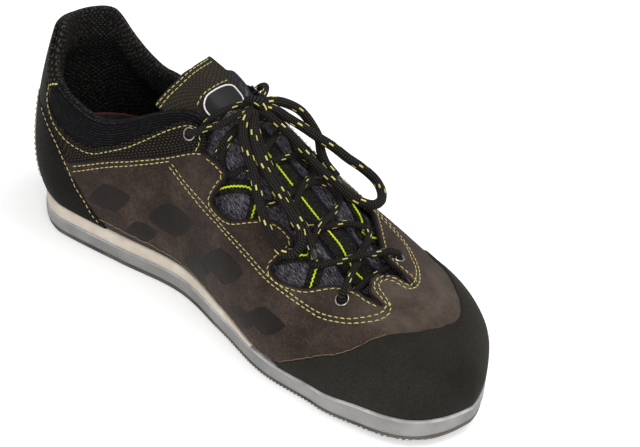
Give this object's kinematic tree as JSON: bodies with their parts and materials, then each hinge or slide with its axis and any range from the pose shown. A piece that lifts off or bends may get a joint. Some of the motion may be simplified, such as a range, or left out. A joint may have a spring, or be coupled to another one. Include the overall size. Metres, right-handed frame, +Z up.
{
  "type": "shooting shoe",
  "caption": "Low-cut left shooting shoe with a hollow nubuck upper, rubber toe cap, padded collar, gusseted tongue and a flat rippled sole with a tapering heel wedge.",
  "frame": {"origin": "middle of the shoe's outline at floor level", "axes": "+X to the toe, +Y to the outer side of the left foot, +Z up from the floor"},
  "size_m": [0.2932, 0.1096, 0.1114],
  "materials": {
    "collar_panel": "grained black leather",
    "eyelet_lateral_front": "dark lacquered metal",
    "eyelet_lateral_rear": "dark lacquered metal",
    "eyelet_medial_front": "dark lacquered metal",
    "eyelet_medial_rear": "dark lacquered metal",
    "heel_counter": "smooth black leather",
    "heel_wedge": "cream foam rubber, matt",
    "insole": "dark blue-grey cloth",
    "lace_bar": "black braid with yellow flecks",
    "lace_bow_lateral": "black braid with yellow flecks",
    "lace_bow_medial": "black braid with yellow flecks",
    "lace_crossings": "black braid with yellow flecks",
    "lace_end_lateral": "black braid with yellow flecks",
    "lace_end_medial": "black braid with yellow flecks",
    "lace_knot": "black braid with yellow flecks",
    "lace_top_bar": "black braid with yellow flecks",
    "midsole": "grey foam rubber, satin",
    "outsole": "dark grey rubber, rippled under the forefoot",
    "toe_cap": "black rubber, matt",
    "tongue": "navy-black mesh",
    "tongue_patch": "grained black leather",
    "tongue_strap": "black webbing",
    "upper": "brown nubuck, matt",
    "webbing_loop_lateral_front": "black webbing with a bright centre line",
    "webbing_loop_lateral_rear": "black webbing with a bright centre line",
    "webbing_loop_medial_front": "black webbing with a bright centre line",
    "webbing_loop_medial_rear": "black webbing with a bright centre line"
  },
  "bodies": {
    "root": {"collar_panel": "collar_panel", "eyelet_lateral_front": "eyelet_lateral_front", "eyelet_lateral_rear": "eyelet_lateral_rear", "eyelet_medial_front": "eyelet_medial_front", "eyelet_medial_rear": "eyelet_medial_rear", "heel_counter": "heel_counter", "heel_wedge": "heel_wedge", "insole": "insole", "lace_bar": "lace_bar", "lace_bow_lateral": "lace_bow_lateral", "lace_bow_medial": "lace_bow_medial", "lace_crossings": "lace_crossings", "lace_end_lateral": "lace_end_lateral", "lace_end_medial": "lace_end_medial", "lace_knot": "lace_knot", "lace_top_bar": "lace_top_bar", "midsole": "midsole", "outsole": "outsole", "toe_cap": "toe_cap", "tongue": "tongue", "tongue_patch": "tongue_patch", "tongue_strap": "tongue_strap", "upper": "upper", "webbing_loop_lateral_front": "webbing_loop_lateral_front", "webbing_loop_lateral_rear": "webbing_loop_lateral_rear", "webbing_loop_medial_front": "webbing_loop_medial_front", "webbing_loop_medial_rear": "webbing_loop_medial_rear"}
  },
  "joints": []
}
